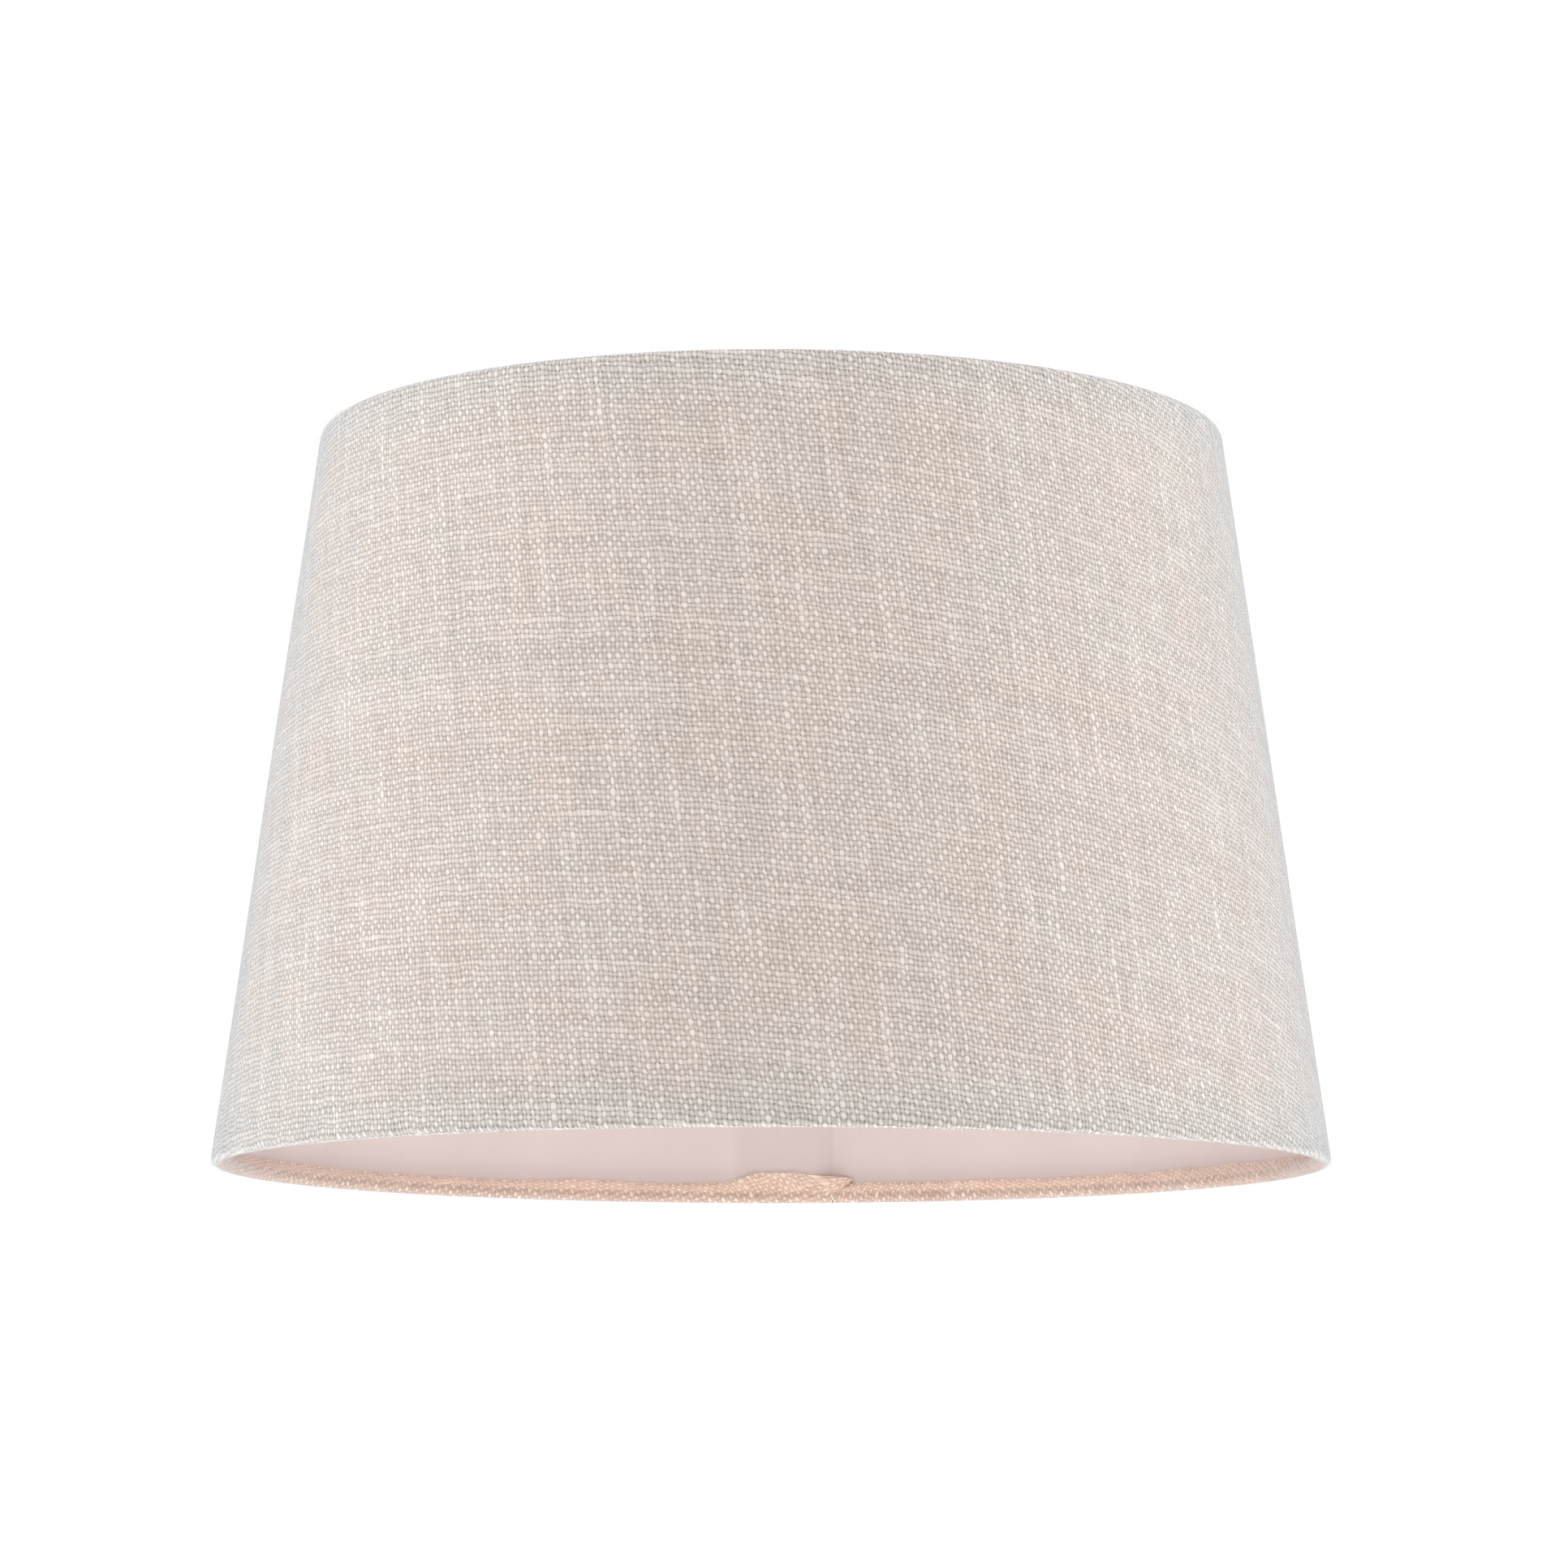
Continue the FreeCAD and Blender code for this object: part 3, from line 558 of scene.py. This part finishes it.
def cloth_skins():
    """Offset the middle line by half the thickness to both sides, square to the section.

    Where the strip starts, its hem stands a little further off the liner and leans, as a hem that
    is cut slanting does. Its wall is pressed thin and outwards, into the step of the layer over it.
    """
    middle, rim_points = cloth_section(ANGLES)
    angle = np.broadcast_to(ANGLES[:, None], middle.shape[:2]).copy()
    inset, height = middle[..., 0].copy(), middle[..., 1].copy()

    from_rim = np.minimum(height, HEIGHT - height)
    column = np.arange(middle.shape[1])
    hem_end = rim_points * HEM_SHARE
    hem_columns = (column < hem_end) | (column >= middle.shape[1] - hem_end)
    start = bell(angle, SEAM - 5, SEAM + THIN_ARC, 1.6) * hem_columns
    above = np.clip((from_rim - 2.2) / 2.0, 0, 1)
    inset += START_LIFT * start * above
    angle -= start * above * START_SLANT * np.clip((from_rim - 1.5) / 7.2, 0, 1)

    along = np.gradient(np.stack([inset, height], -1), axis=1)
    along /= np.linalg.norm(along, axis=-1, keepdims=True)
    side_inset, side_height = -along[..., 1], along[..., 0]
    half = CLOTH / 2
    on_wall = bell(np.abs(inset), -1.0, half + 0.05, 0.1)
    pressed = on_wall * (1 - feather(ANGLES)[:, None])
    inset -= on_wall * settle(ANGLES)[:, None]
    outer = on_shade(angle, inset + half * side_inset, height + half * side_height)
    inward = half * (1 - 2 * pressed)
    inner = on_shade(angle, inset - inward * side_inset, height - inward * side_height)
    return middle, rim_points, outer, inner


middle, RIM_POINTS, outer_skin, inner_skin = cloth_skins()
print("cloth grid:", outer_skin.shape[:2], "points on each skin")


# %% Cut the slots and leave the lap's outer end without a hem
def cloth_mask():
    """Cells that are cloth: no top hem at the hangers, and no hems on the lap's outer layer."""
    centre = (ANGLES[:-1] + ANGLES[1:]) / 2
    cells = middle.shape[1] - 1
    keep = np.ones((len(centre), cells), bool)
    bare, column = int(RIM_POINTS * BARE_SHARE), np.arange(cells)
    top_hem = column >= cells - int(RIM_POINTS * HEM_SHARE)
    any_hem = (column < bare) | (column >= cells - bare)
    at_hanger = abs((centre + 90) % 180 - 90) < SLOT_HALF
    keep[np.ix_(at_hanger, top_hem)] = False
    keep[np.ix_(centre > LAP_HEM_END, any_hem)] = False
    return keep


WARP_RULER, WEFT_RULER = (0.735, -0.092), (-0.058, 0.607)


def thread_counts(slant, angle):
    """Warp and weft counts: the cone is rolled out flat and two slanted rulers are laid on it.

    Rolled out, a point lies at its slant distance from the cone's tip, turned by the sine of the
    cone's half angle times its direction from the front. A ruler says how many threads are passed
    for each millimetre across and each millimetre down.
    """
    turn = np.sin(HALF_ANGLE) * np.radians(angle - FRONT)
    across, down = slant * np.sin(turn), slant * np.cos(turn)
    return np.stack([x * across + y * down for x, y in (WARP_RULER, WEFT_RULER)], -1)


def slant_along_cloth():
    """Slant distance from the cone's tip, going on along the hems, and the run of the cloth."""
    steps = np.linalg.norm(np.diff(middle, axis=1), axis=-1)
    run = np.concatenate([np.zeros((len(steps), 1)), np.cumsum(steps, 1)], 1)
    reference = middle.shape[1] // 2
    slant = (BOTTOM_RADIUS / TAPER - middle[:, reference, 1]) / np.cos(HALF_ANGLE)
    return slant[:, None] - (run - run[:, reference:reference + 1]), run


def store_threads(piece, counts, source):
    """Keep the thread counts as the piece's own UV map, one pair for each corner of a face."""
    uv = piece.data.uv_layers.new(name="weave")
    corners = np.zeros(len(piece.data.loops), np.int32)
    piece.data.loops.foreach_get("vertex_index", corners)
    uv.data.foreach_set("uv", counts.reshape(-1, 2)[source][corners].astype(np.float32).ravel())


keep_cloth = cloth_mask()
cloth_slant, cloth_run = slant_along_cloth()
counts = thread_counts(cloth_slant, ANGLES[:, None])

# %% Make the cloth piece
points, faces, source = closed_sheet(outer_skin, inner_skin, keep_cloth)
cover = new_piece("cover_cloth", points, faces, "shade", "linen_cloth", LINEN)
store_threads(cover, counts, source)


def finish_masks():
    """Masks of painted light: shade along a rim, glow on the turned-in hem, shade on its side
    facing the rim.
    """
    inset, height = middle[..., 0], np.minimum(middle[..., 1], HEIGHT - middle[..., 1])
    outside = (inset < 1.0) & (height > 0.4)
    # Mask of the painted shade along the rim band.
    band = np.where(outside, np.clip((8.0 - height) / 1.5, 0, 1), 1.0)
    turned = np.clip((inset - 1.2) / 0.3, 0, 1) * np.clip((height - 0.4) / 2.0, 0, 1)
    # Mask of the painted shade on the turned hem's side that faces the rim.
    under = np.clip((inset - 1.8) / 1.0, 0, 1) * np.clip((3.9 - height) / 1.4, 0, 1)
    return {"rim_band": band, "turned_in": turned, "shaded_underside": under}


for name, values in finish_masks().items():
    paint_attribute(cover, name, values.reshape(-1)[source])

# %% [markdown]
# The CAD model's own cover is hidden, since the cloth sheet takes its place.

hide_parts("fabric_cover")

# %% [markdown]
# ## The liner
# A stiff plastic sheet behind the cloth, which gives the shade its name of hardback. From below it
# is the smooth wall inside. It is the same kind of sheet as the cloth, straight in section. In the
# lap it is painted darker in shade, because the two layers of cloth and liner there hold back the
# light that comes through, and the cloth's threads show faintly through it as painted shadows.

# %% Liner material
def liner_finish():
    material, w, shader = new_finish("liner_plastic")
    counts = w.node("ShaderNodeUVMap", uv_map="weave").outputs[0]
    weave = place_group(w, "plain_weave", {"Counts": counts})
    cloud = w.noise(w.stretch(counts, (0.05, 0.02, 1.0)), 1.0, 3.0, 0.55).outputs["Fac"]
    colour = w.blend(w.fade(cloud, 0.3, 0.7), (0.745, 0.64, 0.61, 1), (0.775, 0.665, 0.635, 1))
    # Painted shade in the lap, where the two layers hold back the light that comes through.
    colour = w.blend(w.times(w.attribute("doubled"), 0.55), colour, (0.66, 0.565, 0.53, 1))
    # Painted shadows of the cloth's threads, showing faintly through the liner as light comes
    # through.
    threads = w.times(w.add(weave["Hole"], w.times(weave["Tone"], 0.3)), 0.07)
    colour = w.blend(threads, colour, (0.45, 0.33, 0.29, 1))
    w.tree.links.new(colour, shader.inputs["Base Color"])
    w.tree.links.new(w.fade(cloud, 0.2, 0.8, 0.42, 0.56), shader.inputs["Roughness"])
    ripple = w.add(w.times(weave["Height"], 0.25), w.times(cloud, 2.0))
    w.tree.links.new(w.bump(ripple, 0.0001, 0.5), shader.inputs["Normal"])
    set_shader(shader, Specular_IOR_Level=0.4)
    return material


LINER_PLASTIC = liner_finish()

# %% Make the liner piece
LINER_MARGIN = 1.6


def liner_skins():
    """Two straight skins behind the cloth, stepped out in the lap as the cloth is."""
    heights = np.linspace(LINER_MARGIN, HEIGHT - LINER_MARGIN, 17)
    step = stand_out(ANGLES)[:, None] + settle(ANGLES)[:, None]
    angle = np.broadcast_to(ANGLES[:, None], (len(ANGLES), len(heights)))
    pressed = feather(ANGLES)[:, None]
    skins = [on_shade(angle, inset * pressed - step, heights + 0 * angle)
             for inset in (CLOTH, CLOTH + LINER)]
    return skins, angle, heights


(liner_outer, liner_inner), liner_angle, liner_heights = liner_skins()
all_cells = np.ones((len(ANGLES) - 1, len(liner_heights) - 1), bool)
points, faces, source = closed_sheet(liner_outer, liner_inner, all_cells)
liner = new_piece("liner_sheet", points, faces, "shade", "liner_plastic", LINER_PLASTIC)
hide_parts("liner_panel")
doubled = bell(liner_angle, SEAM - 2, SEAM + LAP_ARC, 0.25)
paint_attribute(liner, "doubled", doubled.reshape(-1)[source])
liner_slant = (BOTTOM_RADIUS / TAPER - liner_heights) / np.cos(HALF_ANGLE)
store_threads(liner, thread_counts(liner_slant, liner_angle), source)

# %% [markdown]
# ## The tape in the lap
# Double-sided tape joins the strip's ends. Only its edges show, as a hair's breadth between the
# layers, so it is one more closed sheet, a little narrower than the lap.

# %% Make the tape piece
TAPE_START, TAPE_END, TAPE_MARGIN = SEAM + 3.2, SEAM + LAP_ARC - 0.4, 2.0
tape_angles = np.linspace(TAPE_START, TAPE_END, 24)
tape_heights = np.linspace(TAPE_MARGIN, HEIGHT - TAPE_MARGIN, 13)
tape_grid = np.broadcast_to(tape_angles[:, None], (len(tape_angles), len(tape_heights)))
tape_skins = [on_shade(tape_grid, inset, tape_heights + 0 * tape_grid) for inset in (-TAPE, 0.0)]
tape_cells = np.ones((len(tape_angles) - 1, len(tape_heights) - 1), bool)

# %% [markdown]
# ## Wire, rivets and reducer
# These CAD pieces have the right shape already, so they stay and get a finish. The rings, hangers,
# yokes and the fitter ring are mild steel with a white powder coat, which dries with a faint
# orange peel and chips down to grey steel. The rivets are zinc plated, and the reducer is moulded
# plastic. One group makes the marks that all of them share.

# %% Shared group of surface marks
def build_marks():
    """Fine grain, slow clouding, small chips and settled dust, from layers of noise."""
    w, given, out = new_group(
        "surface_marks",
        {"Place": (0.0, 0.0, 0.0), "Grain Size": 900.0, "Cloud Size": 60.0, "Chip Limit": 0.7},
        ["Grain", "Cloud", "Chip", "Dust"],
    )
    place = given["Place"]
    grain = w.noise(place, given["Grain Size"], 2.0).outputs["Fac"]
    cloud = w.noise(place, given["Cloud Size"], 4.0, 0.6).outputs["Fac"]
    nick = w.noise(place, w.times(given["Cloud Size"], 6.0), 5.0, 0.65).outputs["Fac"]
    chip = w.fade(nick, given["Chip Limit"], w.add(given["Chip Limit"], 0.02))
    up = w.parts(w.node("ShaderNodeNewGeometry").outputs["Normal"])[2]
    dust = w.times(w.fade(up, 0.2, 0.95), w.fade(cloud, 0.35, 0.65))
    for label, value in (("Grain", grain), ("Cloud", cloud), ("Chip", chip), ("Dust", dust)):
        w.tree.links.new(value, out.inputs[label])
    return w.tree


print("marks group:", len(build_marks().nodes), "nodes")


# %% Finishes of the small parts
def marked_finish(name, clean, clouded, bared, grain, chips, roughness, relief, metal=None):
    """A finish whose colour clouds and chips, and whose roughness and relief follow its marks.

    metal gives how metallic it is whole and chipped; plastics and glue leave it out.
    """
    material, w, shader = new_finish(name)
    place = w.node("ShaderNodeTexCoord").outputs["Object"]
    marks = place_group(w, "surface_marks", {"Place": place, "Grain Size": grain,
                                             "Chip Limit": chips})
    colour = w.blend(w.fade(marks["Cloud"], 0.3, 0.7), clean, clouded)
    colour = w.blend(marks["Chip"], colour, bared)
    colour = w.blend(w.times(marks["Dust"], 0.3), colour, (0.72, 0.69, 0.64, 1))
    w.tree.links.new(colour, shader.inputs["Base Color"])
    rough = w.add(w.fade(marks["Grain"], 0.2, 0.8, *roughness), w.times(marks["Dust"], 0.2))
    w.tree.links.new(rough, shader.inputs["Roughness"])
    if metal:
        w.tree.links.new(w.fade(marks["Chip"], 0.0, 1.0, *metal), shader.inputs["Metallic"])
    height = w.minus(marks["Grain"], w.times(marks["Chip"], 0.8))
    w.tree.links.new(w.bump(height, relief, 0.6), shader.inputs["Normal"])
    return material


WIRE_COAT = marked_finish("coated_wire", (0.84, 0.835, 0.81, 1), (0.78, 0.77, 0.73, 1),
                          (0.32, 0.31, 0.30, 1), 1100.0, 0.71, (0.34, 0.5), 0.00006,
                          metal=(0.0, 0.85))
ZINC = marked_finish("plated_rivet", (0.66, 0.665, 0.66, 1), (0.55, 0.55, 0.545, 1),
                     (0.42, 0.40, 0.36, 1), 2600.0, 0.68, (0.28, 0.5), 0.00003,
                     metal=(1.0, 0.7))
MOULDED = marked_finish("reducer_plastic", (0.86, 0.85, 0.82, 1), (0.83, 0.815, 0.77, 1),
                        (0.80, 0.77, 0.70, 1), 2200.0, 0.74, (0.36, 0.48), 0.00003)
GLUE_TAPE = marked_finish("adhesive_tape", (0.80, 0.78, 0.71, 1), (0.74, 0.71, 0.62, 1),
                          (0.66, 0.62, 0.52, 1), 700.0, 0.66, (0.4, 0.65), 0.00004)
tape_points, tape_faces, _ = closed_sheet(*tape_skins, tape_cells)
tape = new_piece("tape_strip", tape_points, tape_faces, "shade", "adhesive_tape", GLUE_TAPE)
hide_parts("seam_tape")

FINISH_OF_SLOT = {"coated_wire": WIRE_COAT, "plated_rivet": ZINC, "reducer_plastic": MOULDED}
for subpart in frame["record"]["subparts"]:
    node = nodes[subpart["node"]]
    if not node.hide_render:
        node.data.materials.clear()
        node.data.materials.append(FINISH_OF_SLOT[subpart["material_slot"]])
        print(node.name, "has the finish", subpart["material_slot"])

# %% [markdown]
# ## Stray fibres
# Slub cloth is hairy. Along both rims short fibres stand off the cloth, too fine for a texture.
# Each is a four-sided hair on a curved line, so that its ends close with one face, and all of them
# are worked out in one array.

# %% Hairs on the rims
HAIR_RADIUS, STATIONS = 0.035, 5


def hairs(roots, away, lengths, seed):
    """Points and faces of tapering square hairs, with four points at each station of each hair.

    A hair's line leaves its root along `away`, mixed with a random direction, and bends by the
    square of the distance towards a second random direction. Its radius falls off to a third.
    """
    random = np.random.default_rng(seed)
    count = len(roots)
    lead = away + 1.1 * random.normal(size=(count, 3))
    lead /= np.linalg.norm(lead, axis=1, keepdims=True)
    bend = random.normal(size=(count, 3)) * 0.6
    t = np.linspace(0, 1, STATIONS)[None, :, None]
    line = lengths[:, None, None] * (lead[:, None] * t + bend[:, None] * t * t * 0.6)
    side = np.cross(lead, bend)
    side /= np.linalg.norm(side, axis=1, keepdims=True)
    corners = np.stack([side, np.cross(lead, side), -side, -np.cross(lead, side)], 1)
    radius = HAIR_RADIUS * (1 - 0.65 * t)
    points = (roots[:, None] + line)[:, :, None] + corners[:, None] * radius[..., None]

    row, corner = np.arange(STATIONS - 1)[:, None] * 4, np.arange(4)[None, :]
    after = (corner + 1) % 4
    sides = np.stack([row + corner, row + after, row + 4 + after, row + 4 + corner], -1)
    last = (STATIONS - 1) * 4
    ends = np.array([[3, 2, 1, 0], [last, last + 1, last + 2, last + 3]])
    one = np.concatenate([sides.reshape(-1, 4), ends])
    faces = np.arange(count)[:, None, None] * STATIONS * 4 + one[None]
    return points.reshape(-1, 3), faces.reshape(-1, 4)


def rim_hairs(count, seed):
    """Roots spread over the outer edge of both rims, most of them on the lower one."""
    random = np.random.default_rng(seed)
    angle = random.uniform(SEAM, STRIP_END - LAP_ARC, count)
    low = random.random(count) < 0.62
    lift = np.where(low, random.uniform(0.2, 2.2, count), HEIGHT - random.uniform(0.2, 2.2, count))
    edge = np.minimum(lift, HEIGHT - lift)
    inset = 0.25 + 1.3 * np.clip(1.6 - edge, 0, 1) ** 2
    roots = on_shade(angle, inset, lift)
    turn = np.radians(angle)
    away = np.stack([np.cos(turn), np.sin(turn), np.where(low, -1.2, 1.2)], -1)
    lengths = random.uniform(0.8, 3.4, count) ** 1.15
    return roots, away, lengths


def fibre_finish():
    """Pale flax hair: the cloth's colour, lighter, with a slow change along the rim."""
    material, w, shader = new_finish("flax_fibre")
    place = w.node("ShaderNodeTexCoord").outputs["Object"]
    marks = place_group(w, "surface_marks", {"Place": place, "Cloud Size": 200.0})
    colour = w.blend(marks["Cloud"], (0.74, 0.68, 0.62, 1), (0.88, 0.84, 0.80, 1))
    w.tree.links.new(colour, shader.inputs["Base Color"])
    set_shader(shader, Roughness=0.8, Sheen_Weight=0.4, Specular_IOR_Level=0.2)
    return material


roots, away, lengths = rim_hairs(1500, 23)
new_piece("stray_fibres", *hairs(roots, away, lengths, 29), "shade", "linen_cloth", fibre_finish())
print("hairs:", len(roots), "longest", lengths.max().round(1), "mm")

# %% [markdown]
# ## Studio
# A plain pale floor well below, a large soft light at each side, one above in front and one behind,
# and a weak one under the mouth. The backdrop is brighter to the camera than to the shade. The
# camera looks slightly up at the shade through a long lens.

# %% Floor, lights and camera
def studio():
    scene = bpy.context.scene
    scene.view_settings.view_transform = "Standard"
    mesh = bpy.data.meshes.new("floor")
    half, level = 12, -0.75
    corners = [(x * half, y * half, level) for x, y in ((-1, -1), (1, -1), (1, 1), (-1, 1))]
    mesh.from_pydata(corners, [], [(0, 1, 2, 3)])
    floor = bpy.data.objects.new("floor", mesh)
    scene.collection.objects.link(floor)
    material, _, shader = new_finish("pale_floor")
    set_shader(shader, Base_Color=(0.85, 0.85, 0.85, 1), Roughness=0.7)
    mesh.materials.append(material)

    world = bpy.data.worlds.new("studio")
    scene.world = world
    world.use_nodes = True
    w = Wiring(world.node_tree)
    seen = w.node("ShaderNodeLightPath").outputs["Is Camera Ray"]
    ambient, backdrop = 0.60, 1.02
    glow = w.node("ShaderNodeMix", {0: seen, 2: ambient, 3: backdrop}, data_type="FLOAT").outputs[0]
    background = world.node_tree.nodes["Background"]
    background.inputs["Color"].default_value = (1, 1, 1, 1)
    world.node_tree.links.new(glow, background.inputs["Strength"])

    cool, plain = (0.90, 0.95, 1.0), (1.0, 1.0, 1.0)
    middle_of_shade = Vector((0, 0, 0.12))
    for name, place, size, power, tint in (
        ("left_panel", (-1.7, -0.3, 0.3), 1.6, 18.0, cool),
        ("right_panel", (1.7, -0.3, 0.3), 1.6, 17.0, cool),
        ("front_panel", (0.0, -1.1, 1.9), 1.2, 12.0, plain),
        ("back_panel", (0.0, 2.2, 1.2), 1.8, 12.0, plain),
        ("low_panel", (0.0, 0.05, -0.72), 0.45, 3.5, plain),
    ):
        data = bpy.data.lights.new(name, "AREA")
        data.shape, data.size, data.energy, data.color = "SQUARE", size, power, tint
        lamp = bpy.data.objects.new(name, data)
        lamp.location = place
        aim = middle_of_shade - lamp.location
        lamp.rotation_euler = aim.to_track_quat("-Z", "Y").to_euler()
        scene.collection.objects.link(lamp)

    data = bpy.data.cameras.new("camera")
    data.lens, data.sensor_width = 131.0, 36.0
    camera = bpy.data.objects.new("camera", data)
    camera.location = (0.0, -1.813, -0.1237)
    camera.rotation_euler = np.radians((90 + 7.76, 0.0, -0.13))
    scene.collection.objects.link(camera)
    scene.camera = camera


studio()
print("camera at", tuple(round(x, 4) for x in bpy.context.scene.camera.location))
